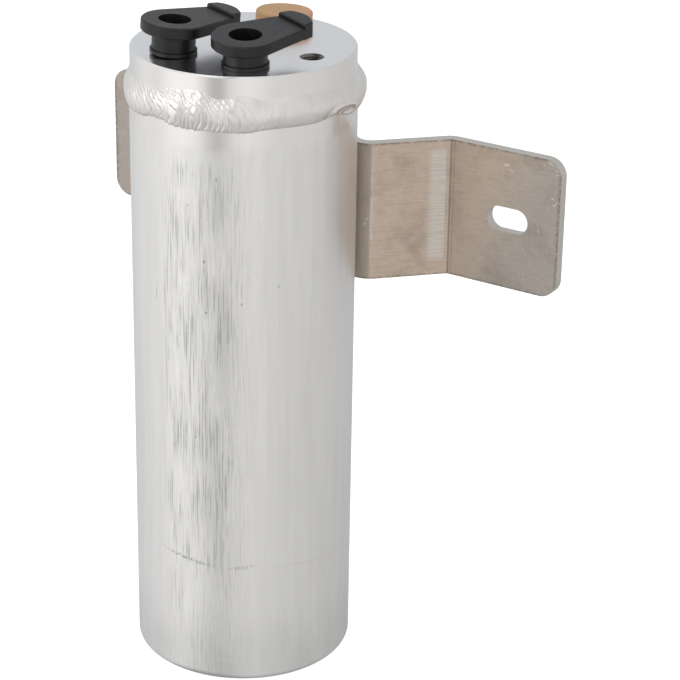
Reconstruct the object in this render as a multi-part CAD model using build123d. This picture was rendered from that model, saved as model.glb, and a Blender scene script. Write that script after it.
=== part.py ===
from build123d import *
from math import cos, pi, radians, sin
import os

# A receiver drier of a car's air conditioning: a drawn aluminium can with a
# flat floor, closed by a machined head that is welded on all round, and a
# bent strap behind it for two screws. Millimetres. The origin is the middle
# of the can's floor, +Z runs up the can and +Y points at the wall behind.

# Can
can_diameter = 60.0
can_wall = 2.0
can_floor = 3.0
can_foot_radius = 1.6
can_inner_bevel = 1.0
total_height = 174.0

# Head
head_step = 0.3
head_edge = 0.4
head_collar = 10.3
head_depth = 26.0
head_fit = 0.1
head_turn = 2.7
weld_groove = 1.6

# Ports in the head
port_inset = 9.85
port_half_angle = 33.15
port_bore = 10.8
port_depth = 11.0
port_chamfer = 0.4
inlet_drill = 7.0
screw_inset = 8.45
screw_angle = 3.15
screw_core = 5.0
screw_mouth = 6.4
screw_hole_depth = 15.0
switch_inset = 9.4
switch_boss_diameter = 11.0
switch_boss_height = 1.6
switch_bore = 5.4
switch_bore_depth = 9.4
switch_drill = 2.6
spring_seat_depth = 1.5
spring_seat_gap = 0.6

# Weld bead between can and head
bead_proud = 1.6
bead_offset = 0.7
bead_offset_heading = 30.0
scale_count = 48
scale_radius = 4.9
scale_sides = 14
scale_lean = 14.0
scale_overlap = 1.25
scale_reach = 2

# Strap behind the can
strap_thickness = 3.0
strap_height = 39.0
strap_drop = 29.7
strap_leave_angle = 54.9
strap_leg_angle = 45.6
strap_neck_radius = 3.8
strap_knee_radius = 1.6
wall_gap = 13.0
strap_width = 147.4
strap_corner = 5.0
strap_fit = 0.05
slot_spacing = 116.4
slot_length = 12.2
slot_width = 7.0
strap_weld_angle = 24.0
strap_weld_leg = 2.4

# Rubber plugs in the two ports
plug_stem = 11.35
plug_lip = 12.3
plug_lip_height = 0.9
plug_flange = 3.05
plug_flange_radius = 8.7
plug_tab_reach = 19.2
plug_tab_taper = 12.8
plug_tip_crown = 1.8
plug_tip_corner = 1.2
plug_rib_start = 14.5
plug_rib_height = 1.0
plug_hole = 8.5
plug_hole_floor = 1.6
plug_spigot = 8.6
plug_spigot_length = 6.0
plug_spigot_hole = 5.2
plug_spigot_floor = 1.4
plug_edge = 0.35
outlet_plug_height = 8.1
outlet_tab_heading = 70.2
outlet_lean = 1.2
outlet_droop = 4.4
outlet_lean_heading = -54.0
outlet_lift = 0.03
inlet_plug_height = 8.6
inlet_tab_heading = 72.3
inlet_lean = 2.5
inlet_droop = 2.1
inlet_lean_heading = 23.0
inlet_lift = 0.05

# Cap over the switch port
cap_diameter = 15.2
cap_height = 3.6
cap_wall = 1.5
cap_roof = 1.2
cap_edge = 0.4
cap_lean = 2.8
cap_lean_heading = 70.0
cap_lift = 0.05

# Inside: tube, strainer, plates, pads, bed and spring
tube_diameter = 8.0
tube_wall = 1.0
tube_socket = 8.0
tube_foot_gap = 8.0
tube_fit = 0.03
tube_hole_gap = 0.3
plate_thickness = 1.2
plate_fit = 0.6
plate_rim = 4.0
plate_hole = 3.6
plate_hole_sides = 8
inner_holes = 7
inner_ring_diameter = 18.0
outer_holes = 13
outer_ring_inset = 7.0
cup_gap = 1.5
cup_height = 20.0
cup_edge = 0.8
pad_thickness = 4.0
pad_fit = 0.1
bed_height = 44.0
bed_fit = 0.25
spring_wire = 1.8
spring_tube_gap = 1.95
spring_turns = 6
coil_steps = 16
coil_sides = 6
strainer_diameter = 10.2
strainer_floor_gap = 0.5
strainer_wall = 0.7
strainer_base = 1.2
strainer_grip = 3.0
strainer_windows = 6
strainer_window_width = 2.6
strainer_window_edge = 1.0
mesh_thickness = 0.25
mesh_fit = 0.02

# Valve core in the switch port
core_fit = 0.05
core_length = 7.6
core_bore = 3.2
core_throat = 1.7
core_throat_length = 1.8
pin_diameter = 1.1
pin_overrun = 0.5
pin_disc = 4.2
pin_disc_thickness = 0.8
seal_thickness = 0.7
core_spring_wire = 0.4
core_spring_turns = 3

# Derived sizes
can_radius = can_diameter / 2
bore_radius = can_radius - can_wall
head_diameter = can_diameter - 2 * head_step
port_circle = head_diameter / 2 - port_inset
screw_circle = head_diameter / 2 - screw_inset
switch_circle = head_diameter / 2 - switch_inset
collar_bottom = total_height - head_collar
head_bottom = total_height - head_depth
cup_top = can_floor + cup_height
cup_diameter = 2 * (bore_radius - cup_gap)
outer_ring_diameter = 2 * (bore_radius - outer_ring_inset)
lower_pad_top = cup_top + pad_thickness
bed_top = lower_pad_top + bed_height
upper_pad_top = bed_top + pad_thickness
plate_top = upper_pad_top + plate_thickness
spring_top = head_bottom + spring_seat_depth
spring_mean_diameter = 2 * (port_circle - spring_tube_gap) - tube_diameter - spring_wire
wall_distance = can_radius + wall_gap
strap_bottom = total_height - strap_drop - strap_height
strap_middle = strap_bottom + strap_height / 2
strap_radius = can_radius + strap_fit
tube_foot = can_floor + tube_foot_gap


def polar(radius, angle, z=0.0):
    """A place at a radius and an angle round the can."""
    a = radians(angle)
    return Vector(radius * cos(a), radius * sin(a), z)


outlet_port = polar(port_circle, head_turn - 90 + port_half_angle)
inlet_port = polar(port_circle, head_turn - 90 - port_half_angle)
outlet_screw = polar(screw_circle, head_turn - screw_angle)
inlet_screw = polar(screw_circle, head_turn + 180 + screw_angle)
switch_port = polar(switch_circle, head_turn + 90)


def rod(diameter, bottom, top, place=Vector(0, 0, 0)):
    """An upright round body between two heights."""
    upright = (Align.CENTER, Align.CENTER, Align.MIN)
    body = Cylinder(diameter / 2, top - bottom, align=upright)
    return Pos(place.X, place.Y, bottom) * body


def taper(low_diameter, high_diameter, bottom, top, place=Vector(0, 0, 0)):
    """An upright cone's frustum between two heights."""
    upright = (Align.CENTER, Align.CENTER, Align.MIN)
    body = Cone(low_diameter / 2, high_diameter / 2, top - bottom, align=upright)
    return Pos(place.X, place.Y, bottom) * body


def tube(outer, inner, bottom, top, place=Vector(0, 0, 0)):
    """An upright round tube between two heights."""
    return rod(outer, bottom, top, place) - rod(inner, bottom, top, place)


def canister():
    """The can: drawn wall and flat floor, its rim bevelled for the weld."""
    body = rod(can_diameter, 0, collar_bottom)
    body = fillet(body.edges().group_by(Axis.Z)[0], can_foot_radius)
    body = chamfer(body.edges().group_by(Axis.Z)[-1], weld_groove)
    hollow = rod(2 * bore_radius, can_floor, collar_bottom)
    return body - chamfer(hollow.edges().group_by(Axis.Z)[0], can_inner_bevel)


def screw_hole(place):
    """A tapped hole at its core diameter, countersunk to the thread's."""
    lead = (screw_mouth - screw_core) / 2
    floor = total_height - screw_hole_depth
    hole = rod(screw_core, floor, total_height, place)
    return hole + taper(screw_core, screw_mouth, total_height - lead, total_height, place)


def port(place, drill, drill_bottom):
    """A port: a bore with a small chamfer and a drilled passage below it."""
    mouth = port_bore + 2 * port_chamfer
    bore = rod(port_bore, total_height - port_depth, total_height, place)
    edge = taper(port_bore, mouth, total_height - port_chamfer, total_height, place)
    return bore + edge + rod(drill, drill_bottom, total_height - port_depth, place)


def head():
    """The head: collar, spigot in the can, boss, ports and screw holes."""
    collar = rod(head_diameter, collar_bottom, total_height)
    collar = chamfer(collar.edges().group_by(Axis.Z)[-1], head_edge)
    collar = chamfer(collar.edges().group_by(Axis.Z)[0], weld_groove)
    spigot = rod(2 * (bore_radius - head_fit), head_bottom, collar_bottom)
    boss_top = total_height + switch_boss_height
    boss = rod(switch_boss_diameter, total_height, boss_top, switch_port)
    body = collar + spigot + boss
    bore_end = boss_top - switch_bore_depth
    tube_bore = tube_diameter - 2 * tube_wall
    body -= port(outlet_port, tube_bore, head_bottom)
    body -= port(inlet_port, inlet_drill, head_bottom)
    body -= rod(tube_diameter + 2 * tube_fit, head_bottom, head_bottom + tube_socket, outlet_port)
    body -= screw_hole(outlet_screw)
    body -= screw_hole(inlet_screw)
    body -= rod(switch_bore, bore_end, boss_top, switch_port)
    body -= rod(switch_drill, head_bottom, bore_end, switch_port)
    seat = spring_mean_diameter + spring_wire + 2 * spring_seat_gap
    return body - rod(seat, head_bottom, spring_top)


def scale(number):
    """One ripple of the weld: a leaning disc laid over the one before."""
    pitch = 2 * pi * (can_radius + bead_proud) / scale_count
    outline = RegularPolygon(scale_radius, scale_sides, rotation=180 / scale_sides)
    disc = extrude(outline, -scale_overlap * pitch)
    lay = Pos(can_radius + bead_proud, 0, collar_bottom) * Rot(0, 90, 0) * Rot(scale_lean, 0, 0)
    return Rot(0, 0, number * 360 / scale_count) * lay * disc


def bead_sector():
    """One ripple's share of the bead, between two upright planes."""
    half = pi / scale_count
    far = 2 * can_radius
    corner = (far * cos(half), far * sin(half))
    wedge = extrude(Polygon((0, 0), (corner[0], -corner[1]), corner, align=None), total_height)
    scales = [scale(n) for n in range(-scale_reach, scale_reach + 1)]
    return (scales[0] + scales[1:]) & wedge


def head_weld():
    """The bead: one sector all round, set off centre, cut to the joint."""
    sector = bead_sector()
    turns = [Rot(0, 0, n * 360 / scale_count) * sector for n in range(1, scale_count)]
    fuller = polar(bead_offset, bead_offset_heading)
    bead = Pos(fuller.X, fuller.Y, 0) * (sector + turns)
    core = rod(2 * (can_radius - weld_groove), 0, total_height)
    return bead - core - canister() - head()


def strap_line(offset):
    """Half of the strap's section line, offset outward from its middle."""
    middle = strap_radius + strap_thickness / 2
    leave = strap_leave_angle
    leg = strap_leg_angle
    neck = strap_neck_radius + strap_thickness / 2
    knee = strap_knee_radius + strap_thickness / 2
    neck_centre = polar(middle + neck, leave)
    leg_start = neck_centre + polar(neck, leg - 90)
    flange = wall_distance - strap_thickness / 2
    knee_height = flange - knee * (1 - cos(radians(leg)))
    run = (knee_height - leg_start.Y) / sin(radians(leg))
    knee_start = leg_start + polar(run, leg)
    knee_centre = knee_start + polar(knee, leg - 90)
    neck_radius = neck - offset
    knee_radius = knee + offset
    wrap = CenterArc((0, 0), middle + offset, leave, 90 - leave)
    bend = CenterArc(neck_centre, neck_radius, leave - 180, 90 + leg - leave)
    leg_end = knee_centre + polar(knee_radius, leg + 90)
    leg_line = Line(neck_centre + polar(neck_radius, leg - 90), leg_end)
    turn = CenterArc(knee_centre, knee_radius, 90, leg)
    end = Line(knee_centre + polar(knee_radius, 90), (strap_width / 2, flange + offset))
    return [wrap, bend, leg_line, turn, end]


def bracket():
    """The strap: bent from flat bar, hugging the can's back, with slots."""
    inner = strap_line(-strap_thickness / 2)
    outer = strap_line(strap_thickness / 2)
    across = Line((0, strap_radius), (0, strap_radius + strap_thickness))
    tip = Line((strap_width / 2, wall_distance - strap_thickness), (strap_width / 2, wall_distance))
    section = make_face(Wire(inner + [tip] + outer + [across]))
    half = Pos(0, 0, strap_bottom) * extrude(section, strap_height)
    tip_edges = half.edges().filter_by(Axis.Y).group_by(Axis.X)[-1]
    half = fillet(tip_edges, strap_corner)
    slot = Plane.XZ * Pos(slot_spacing / 2, strap_middle) * SlotOverall(slot_length, slot_width)
    half -= extrude(slot, 2 * wall_distance, both=True)
    return half + mirror(half, Plane.YZ)


def bracket_welds():
    """Two fillet beads that hold the strap's edges to the can's back."""
    triangle = Polygon((0, 0), (strap_weld_leg, 0), (0, strap_weld_leg), align=None)
    upper = Plane.XZ * Pos(can_radius, strap_bottom + strap_height) * triangle
    lower = Plane.XZ * Pos(can_radius, strap_bottom) * mirror(triangle, Plane.XZ)
    start = Rot(0, 0, 90 - strap_weld_angle)
    beads = [start * revolve(side, Axis.Z, 2 * strap_weld_angle) for side in (upper, lower)]
    return Compound(children=[Solid(b.solid().wrapped) for b in beads])


def plug_plan():
    """The flange's plan: a round end and a tab that narrows to a crowned tip."""
    t = radians(plug_tab_taper)
    r = plug_flange_radius
    wide = plug_tab_reach - plug_tip_crown
    shoulder = Vector(r * sin(t), r * cos(t))
    corner = Vector(wide, r / cos(t) - wide * sin(t) / cos(t))
    low_shoulder = Vector(shoulder.X, -shoulder.Y)
    low_corner = Vector(corner.X, -corner.Y)
    back = ThreePointArc(shoulder, (-r, 0), low_shoulder)
    tip = ThreePointArc(low_corner, (plug_tab_reach, 0), corner)
    plan = make_face(Wire([back, Line(low_shoulder, low_corner), tip, Line(corner, shoulder)]))
    return fillet(plan.vertices().group_by(Axis.X)[-1], plug_tip_corner)


def lean(angle, heading):
    """A turn that tips the upright toward a heading by an angle."""
    return Rot(0, 0, heading) * Rot(0, angle, 0) * Rot(0, 0, -heading)


def plug_flange_and_tab():
    """The plug's flange with its pull tab and the ridge across the tip."""
    plan = plug_plan()
    flange = extrude(plan, plug_flange)
    flange = chamfer(flange.edges().group_by(Axis.Z)[0], plug_edge)
    flange = chamfer(flange.edges().group_by(Axis.Z)[-1], plug_edge)
    beyond = Rectangle(plug_tab_reach, 2 * plug_tab_reach, align=(Align.MIN, Align.CENTER))
    far_half = Pos(plug_rib_start, 0) * beyond
    rib = extrude(plan & far_half, plug_flange + plug_rib_height)
    return flange + chamfer(rib.edges().group_by(Axis.Z)[-1], plug_edge)


def plug(height, heading, tip, droop, tip_heading, lift):
    """A rubber plug: hollow stem with lip and spigot, flange with pull tab."""
    under = height - plug_flange
    stem = rod(plug_stem, 0, under + plug_flange / 2)
    lip = rod(plug_lip, 0, plug_lip_height)
    spigot = rod(plug_spigot, -plug_spigot_length, 0)
    spigot = chamfer(spigot.edges().group_by(Axis.Z)[0], plug_edge)
    sag = Pos(0, 0, under) * lean(droop, tip_heading)
    body = stem + lip + spigot + sag * Rot(0, 0, heading) * plug_flange_and_tab()
    body -= sag * rod(plug_hole, plug_hole_floor - under, height)
    body -= rod(plug_spigot_hole, plug_spigot_floor - plug_spigot_length, height)
    rise = plug_lip / 2 * sin(radians(tip)) + lift
    return Pos(0, 0, rise) * lean(tip, tip_heading) * body


def outlet_plug():
    """The plug in the outlet, nearer the front."""
    tilt = (outlet_lean, outlet_droop, outlet_lean_heading, outlet_lift)
    body = plug(outlet_plug_height, outlet_tab_heading, *tilt)
    return Pos(outlet_port.X, outlet_port.Y, total_height) * body


def inlet_plug():
    """The plug in the inlet, taller and leaning the other way."""
    tilt = (inlet_lean, inlet_droop, inlet_lean_heading, inlet_lift)
    body = plug(inlet_plug_height, inlet_tab_heading, *tilt)
    return Pos(inlet_port.X, inlet_port.Y, total_height) * body


def switch_cap():
    """The low cap that leans on the switch port's boss."""
    shell = rod(cap_diameter, 0, cap_height)
    shell = chamfer(shell.edges().group_by(Axis.Z)[-1], cap_edge)
    shell -= rod(cap_diameter - 2 * cap_wall, 0, cap_height - cap_roof)
    rise = cap_diameter / 2 * sin(radians(cap_lean)) + cap_lift
    seat = Pos(switch_port.X, switch_port.Y, total_height + rise)
    return seat * lean(cap_lean, cap_lean_heading) * shell


def valve_core():
    """The valve core's body: a screwed-in sleeve with a narrow throat."""
    top = total_height + switch_boss_height
    bottom = top - core_length
    body = rod(switch_bore - 2 * core_fit, bottom, top, switch_port)
    body -= rod(core_bore, bottom + core_throat_length, top, switch_port)
    return body - rod(core_throat, bottom, top, switch_port)


def valve_pin():
    """The pin through the core, with the disc that closes the throat."""
    top = total_height + switch_boss_height
    bottom = top - core_length
    seat = bottom - seal_thickness
    disc = rod(pin_disc, seat - pin_disc_thickness, seat, switch_port)
    stem = rod(pin_diameter, seat, top + pin_overrun, switch_port)
    return disc + stem


def valve_seal():
    """The rubber ring between the pin's disc and the core's throat."""
    bottom = total_height + switch_boss_height - core_length
    return tube(pin_disc, pin_diameter, bottom - seal_thickness, bottom, switch_port)


def coil(mean, wire, turns, bottom, top, place=Vector(0, 0, 0)):
    """A wire coil with ground ends, bent in short runs between two heights."""
    height = top - bottom
    runs = turns * coil_steps
    points = [polar(mean / 2, n * 360 / coil_steps, n * height / runs) for n in range(runs + 1)]
    start = Plane(origin=points[0], z_dir=points[1] - points[0])
    wire_section = start * RegularPolygon(wire / 2, coil_sides)
    body = sweep(wire_section, Polyline(*points), transition=Transition.RIGHT)
    slab = rod(2 * mean, 0, height)
    return Pos(place.X, place.Y, bottom) * (body & slab)


def valve_spring():
    """The small spring that holds the pin up in the core."""
    top = total_height + switch_boss_height
    foot = top - core_length + core_throat_length
    mean = (pin_diameter + core_bore) / 2
    return coil(mean, core_spring_wire, core_spring_turns, foot, top, switch_port)


def pickup_tube():
    """The tube that takes liquid from the floor up to the outlet."""
    inner = tube_diameter - 2 * tube_wall
    return tube(tube_diameter, inner, tube_foot, head_bottom + tube_socket, outlet_port)


def pickup_strainer():
    """The cup gripping the tube's foot, with a ring of tall windows."""
    bottom = can_floor + strainer_floor_gap
    chamber = strainer_diameter - 2 * strainer_wall
    grip = tube_diameter + 2 * tube_fit
    body = rod(strainer_diameter, bottom, tube_foot + strainer_grip, outlet_port)
    body -= rod(chamber, bottom + strainer_base, tube_foot, outlet_port)
    body -= rod(grip, tube_foot, tube_foot + strainer_grip, outlet_port)
    low = bottom + strainer_base + strainer_window_edge
    tall = tube_foot - strainer_window_edge - low
    outward = (Align.MIN, Align.CENTER, Align.MIN)
    window = Box(strainer_diameter, strainer_window_width, tall, align=outward)
    centre = Pos(outlet_port.X, outlet_port.Y, low)
    return body - [centre * turn * window for turn in PolarLocations(0, strainer_windows)]


def strainer_mesh():
    """The fine screen behind the windows, as one plain sleeve."""
    outer = strainer_diameter - 2 * strainer_wall - 2 * mesh_fit
    bottom = can_floor + strainer_floor_gap + strainer_base
    return tube(outer, outer - 2 * mesh_thickness, bottom + mesh_fit, tube_foot - mesh_fit, outlet_port)


def flow_holes(bottom, top):
    """Two rings of holes for a plate, and its hole for the tube."""
    step = 360 / (outer_holes + 1)
    tube_angle = head_turn - 90 + port_half_angle
    inner = PolarLocations(inner_ring_diameter / 2, inner_holes, tube_angle)
    outer = PolarLocations(outer_ring_diameter / 2, outer_holes, tube_angle + step, outer_holes * step)
    hole = extrude(RegularPolygon(plate_hole / 2, plate_hole_sides), top - bottom)
    holes = [Pos(0, 0, bottom) * place * hole for place in list(inner) + list(outer)]
    return holes + [rod(tube_diameter + 2 * tube_hole_gap, bottom, top, outlet_port)]


def lower_plate():
    """The perforated cup that stands on the floor and carries the bed."""
    body = rod(cup_diameter, can_floor, cup_top)
    body = chamfer(body.edges().group_by(Axis.Z)[-1], cup_edge)
    body -= rod(cup_diameter - 2 * plate_thickness, can_floor, cup_top - plate_thickness)
    return body - flow_holes(cup_top - plate_thickness, cup_top)


def upper_plate():
    """The perforated plate that the spring presses on, its rim turned up."""
    diameter = 2 * (bore_radius - plate_fit)
    body = rod(diameter, upper_pad_top, plate_top + plate_rim)
    body = chamfer(body.edges().group_by(Axis.Z)[0], cup_edge)
    body -= rod(diameter - 2 * plate_thickness, plate_top, plate_top + plate_rim)
    return body - flow_holes(upper_pad_top, plate_top)


def pad(bottom):
    """A disc of felt across the can's bore, with a hole for the tube."""
    body = rod(2 * (bore_radius - pad_fit), bottom, bottom + pad_thickness)
    return body - rod(tube_diameter + 2 * pad_fit, bottom, bottom + pad_thickness, outlet_port)


def lower_pad():
    """The felt below the bed."""
    return pad(cup_top)


def upper_pad():
    """The felt above the bed."""
    return pad(bed_top)


def desiccant():
    """The bed of drying beads round the tube, as one body."""
    body = rod(2 * (bore_radius - bed_fit), lower_pad_top, bed_top)
    return body - rod(tube_diameter + 2 * bed_fit, lower_pad_top, bed_top, outlet_port)


def bed_spring():
    """The spring between the head's seat and the upper plate."""
    return coil(spring_mean_diameter, spring_wire, spring_turns, plate_top, spring_top)


def main():
    """Builds every piece and writes each to its own file."""
    pieces = [
        canister, head, head_weld, bracket, bracket_welds, outlet_plug, inlet_plug,
        switch_cap, valve_core, valve_pin, valve_seal, valve_spring, pickup_tube,
        pickup_strainer, strainer_mesh, lower_plate, upper_plate, lower_pad,
        upper_pad, desiccant, bed_spring,
    ]
    os.makedirs("parts", exist_ok=True)
    for piece in pieces:
        export_step(piece(), f"parts/{piece.__name__}.step")


main()
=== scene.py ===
# %% [markdown]
# # A receiver drier, dressed for its picture
#
# A receiver drier sits in the liquid line of a car's air conditioning. The
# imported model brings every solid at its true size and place: the can, the
# head, the strap, the plugs and what the can holds. This lesson leaves those
# solids alone and gives each its finish, grows the rippled weld and the
# threads anew with Geometry Nodes, and sets up the studio and the camera.

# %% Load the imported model
import math

import bpy
from mathutils import Matrix, Vector


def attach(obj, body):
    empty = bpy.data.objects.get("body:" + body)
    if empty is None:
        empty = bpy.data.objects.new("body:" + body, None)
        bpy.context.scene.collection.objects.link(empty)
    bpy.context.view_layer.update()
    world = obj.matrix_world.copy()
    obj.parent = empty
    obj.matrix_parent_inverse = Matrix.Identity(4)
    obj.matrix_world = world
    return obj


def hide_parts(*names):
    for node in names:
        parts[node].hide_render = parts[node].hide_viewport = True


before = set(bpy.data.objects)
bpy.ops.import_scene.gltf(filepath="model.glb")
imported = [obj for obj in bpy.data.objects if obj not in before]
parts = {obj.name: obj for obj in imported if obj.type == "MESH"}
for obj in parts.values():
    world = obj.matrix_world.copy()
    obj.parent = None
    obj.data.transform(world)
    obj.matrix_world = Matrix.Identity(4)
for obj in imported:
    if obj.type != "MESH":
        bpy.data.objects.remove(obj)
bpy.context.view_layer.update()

# %% [markdown]
# ## Small tools for node trees
#
# A material is a tree of nodes, and so is a Geometry Nodes modifier. Building
# one in a script means many lines of creating, setting and linking. A few
# helpers keep it readable: put makes a node, calc does arithmetic, mix blends
# two colours and fit carries a value from one range to another. An input that
# is given a socket is linked, and an input that is given a number is set. The
# same helpers serve both kinds of tree, because both have the Math node.

# %% Helpers for node trees
def put(tree, kind, inputs=None, **settings):
    """One new node. inputs maps socket names or numbers to values or sockets."""
    made = tree.nodes.new(kind)
    for name, value in settings.items():
        setattr(made, name, value)
    for name, value in (inputs or {}).items():
        socket = made.inputs[name]
        if isinstance(value, bpy.types.NodeSocket):
            tree.links.new(value, socket)
        else:
            socket.default_value = value
    return made


def calc(tree, operation, a, b=0.0, c=0.0, clamp=False):
    """The result of one sum on values or sockets."""
    made = put(tree, "ShaderNodeMath", {0: a, 1: b, 2: c}, operation=operation, use_clamp=clamp)
    return made.outputs[0]


def times(tree, *values):
    """All the values multiplied together."""
    result = values[0]
    for value in values[1:]:
        result = calc(tree, "MULTIPLY", result, value)
    return result


def plus(tree, *values):
    """All the values added up."""
    result = values[0]
    for value in values[1:]:
        result = calc(tree, "ADD", result, value)
    return result


def mix(tree, factor, first, second):
    """The blend of two colours by a factor."""
    made = tree.nodes.new("ShaderNodeMix")
    made.data_type = "RGBA"
    colour_inputs = [s for s in made.inputs if s.type == "RGBA"]
    for socket, value in zip([made.inputs[0]] + colour_inputs, (factor, first, second)):
        if isinstance(value, bpy.types.NodeSocket):
            tree.links.new(value, socket)
        elif isinstance(value, tuple) and len(value) == 3:
            socket.default_value = (*value, 1.0)
        else:
            socket.default_value = value
    return [s for s in made.outputs if s.type == "RGBA"][0]


def fit(tree, value, low, high, to_low=0.0, to_high=1.0):
    """A value carried smoothly from one range to another, held at both ends."""
    inputs = {"Value": value, "From Min": low, "From Max": high, "To Min": to_low, "To Max": to_high}
    made = put(tree, "ShaderNodeMapRange", inputs, interpolation_type="SMOOTHSTEP", clamp=True)
    return made.outputs[0]


def noise(tree, where, scale, detail=3.0, rough=0.55):
    """A cloud pattern's value at a place."""
    inputs = {"Vector": where, "Scale": scale, "Detail": detail, "Roughness": rough}
    return put(tree, "ShaderNodeTexNoise", inputs).outputs[0]


def srgb(r, g, b):
    """A colour as a screen shows it, as the linear numbers a shader wants."""
    return tuple(((v / 255 + 0.055) / 1.055) ** 2.4 for v in (r, g, b))


print("helpers ready")

# %% [markdown]
# ## Where a point lies on the can
#
# The can's marks run along it or round it, so its patterns need two lengths:
# how far round from the side that faces the viewer, and how far up from the
# floor, both in millimetres. A shader node group works them out of the object
# coordinates, and every finish on the can and the head shares it.

# %% The group that unrolls the can
CAN_RADIUS = 30.0
FRONT_TURN = math.radians(33.8)


def unrolled_group():
    """A group that turns a place into millimetres round and up the can."""
    tree = bpy.data.node_groups.new("unrolled can", "ShaderNodeTree")
    tree.interface.new_socket("Place", in_out="INPUT", socket_type="NodeSocketVector")
    for name in ("Round", "Up", "Out"):
        tree.interface.new_socket(name, in_out="OUTPUT", socket_type="NodeSocketFloat")
    start = tree.nodes.new("NodeGroupInput")
    end = tree.nodes.new("NodeGroupOutput")
    inputs = {"Vector": start.outputs["Place"], "Angle": -FRONT_TURN}
    turned = put(tree, "ShaderNodeVectorRotate", inputs, rotation_type="Z_AXIS")
    x, y, z = put(tree, "ShaderNodeSeparateXYZ", {0: turned.outputs[0]}).outputs
    angle = calc(tree, "ARCTAN2", x, calc(tree, "MULTIPLY", y, -1.0))
    across = calc(tree, "SQRT", plus(tree, times(tree, x, x), times(tree, y, y)))
    tree.links.new(times(tree, angle, CAN_RADIUS), end.inputs["Round"])
    tree.links.new(times(tree, z, 1000.0), end.inputs["Up"])
    tree.links.new(times(tree, across, 1000.0), end.inputs["Out"])
    return tree


UNROLLED = unrolled_group()
print("made", UNROLLED.name)

# %% [markdown]
# ## One mark on a surface
#
# A pit, a scratch or a rub is a soft ellipse somewhere on a flat or unrolled
# face. The group takes its middle, its half width and half height, and two
# slants: Lean moves it sideways as it goes up, and Tilt moves it up as it goes
# sideways. It puts out a mask, 1 in the middle and 0 past the edge.

# %% The group for one mark
MARK_INPUTS = {"Across": 0.0, "Up": 0.0, "At Across": 0.0, "At Up": 0.0, "Half Width": 1.0, "Half Height": 1.0, "Lean": 0.0, "Tilt": 0.0}


def mark_group():
    """A group whose mask is a soft ellipse on a face measured in millimetres."""
    tree = bpy.data.node_groups.new("mark", "ShaderNodeTree")
    for name, start_value in MARK_INPUTS.items():
        tree.interface.new_socket(name, in_out="INPUT", socket_type="NodeSocketFloat").default_value = start_value
    tree.interface.new_socket("Mask", in_out="OUTPUT", socket_type="NodeSocketFloat")
    start = tree.nodes.new("NodeGroupInput").outputs
    end = tree.nodes.new("NodeGroupOutput")
    across = calc(tree, "SUBTRACT", start["Across"], start["At Across"])
    up = calc(tree, "SUBTRACT", start["Up"], start["At Up"])
    sideways = calc(tree, "SUBTRACT", across, times(tree, up, start["Lean"]))
    upward = calc(tree, "SUBTRACT", up, times(tree, across, start["Tilt"]))
    a = calc(tree, "DIVIDE", sideways, start["Half Width"])
    b = calc(tree, "DIVIDE", upward, start["Half Height"])
    far = calc(tree, "SQRT", plus(tree, times(tree, a, a), times(tree, b, b)))
    tree.links.new(fit(tree, far, 1.0, 0.25), end.inputs["Mask"])
    return tree


MARK = mark_group()
print("made", MARK.name)

# %% [markdown]
# ## A start for every material
#
# Each finish begins the same way: a Principled shader and the object
# coordinates. Values that are the same all over go straight onto the shader's
# sockets. The other helpers ask the groups for their outputs, stretch a
# pattern to a grain's length and width in millimetres, and feed a height to
# the shader's normal.

# %% Begin a material
def begin(name, **constants):
    """A new material and its tree, shader and object coordinates."""
    material = bpy.data.materials.new(name)
    material.use_nodes = True
    tree = material.node_tree
    tree.nodes.clear()
    inputs = {key.replace("_", " "): value for key, value in constants.items()}
    shader = put(tree, "ShaderNodeBsdfPrincipled", inputs)
    output = tree.nodes.new("ShaderNodeOutputMaterial")
    tree.links.new(shader.outputs[0], output.inputs[0])
    place = tree.nodes.new("ShaderNodeTexCoord").outputs["Object"]
    return material, tree, shader, place


def unroll(tree, place):
    """The unrolled can's outputs at a place."""
    group = put(tree, "ShaderNodeGroup", node_tree=UNROLLED)
    tree.links.new(place, group.inputs[0])
    return group.outputs["Round"], group.outputs["Up"], group.outputs["Out"]


def mark(tree, across, up, at_across, at_up, half_width, half_height, lean=0.0, tilt=0.0):
    """The mask of one mark on a face."""
    group = put(tree, "ShaderNodeGroup", node_tree=MARK)
    tree.links.new(across, group.inputs["Across"])
    tree.links.new(up, group.inputs["Up"])
    values = (at_across, at_up, half_width, half_height, lean, tilt)
    for name, value in zip(list(MARK_INPUTS)[2:], values):
        group.inputs[name].default_value = value
    return group.outputs[0]


def marks(tree, across, up, rows):
    """The masks of a list of marks, the strongest at each point."""
    result = 0.0
    for strength, *row in rows:
        one = times(tree, mark(tree, across, up, *row), strength)
        result = calc(tree, "MAXIMUM", result, one)
    return result


def stretched(tree, across, up, across_size, up_size, third=0.0):
    """A place whose pattern is stretched: sizes in millimetres each way."""
    x = calc(tree, "DIVIDE", across, across_size)
    y = calc(tree, "DIVIDE", up, up_size)
    return put(tree, "ShaderNodeCombineXYZ", {0: x, 1: y, 2: third}).outputs[0]


def bump(tree, shader, height, distance_mm):
    """Feeds a height in millimetres to the shader's normal."""
    made = put(tree, "ShaderNodeBump", {"Height": height, "Distance": distance_mm / 1000})
    tree.links.new(made.outputs[0], shader.inputs["Normal"])


def dress(material, *names):
    """Gives a material to CAD nodes."""
    for name in names:
        parts[name].data.materials.clear()
        parts[name].data.materials.append(material)
    print("finished", ", ".join(names), "with", material.name)


print("material helpers ready")
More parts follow.
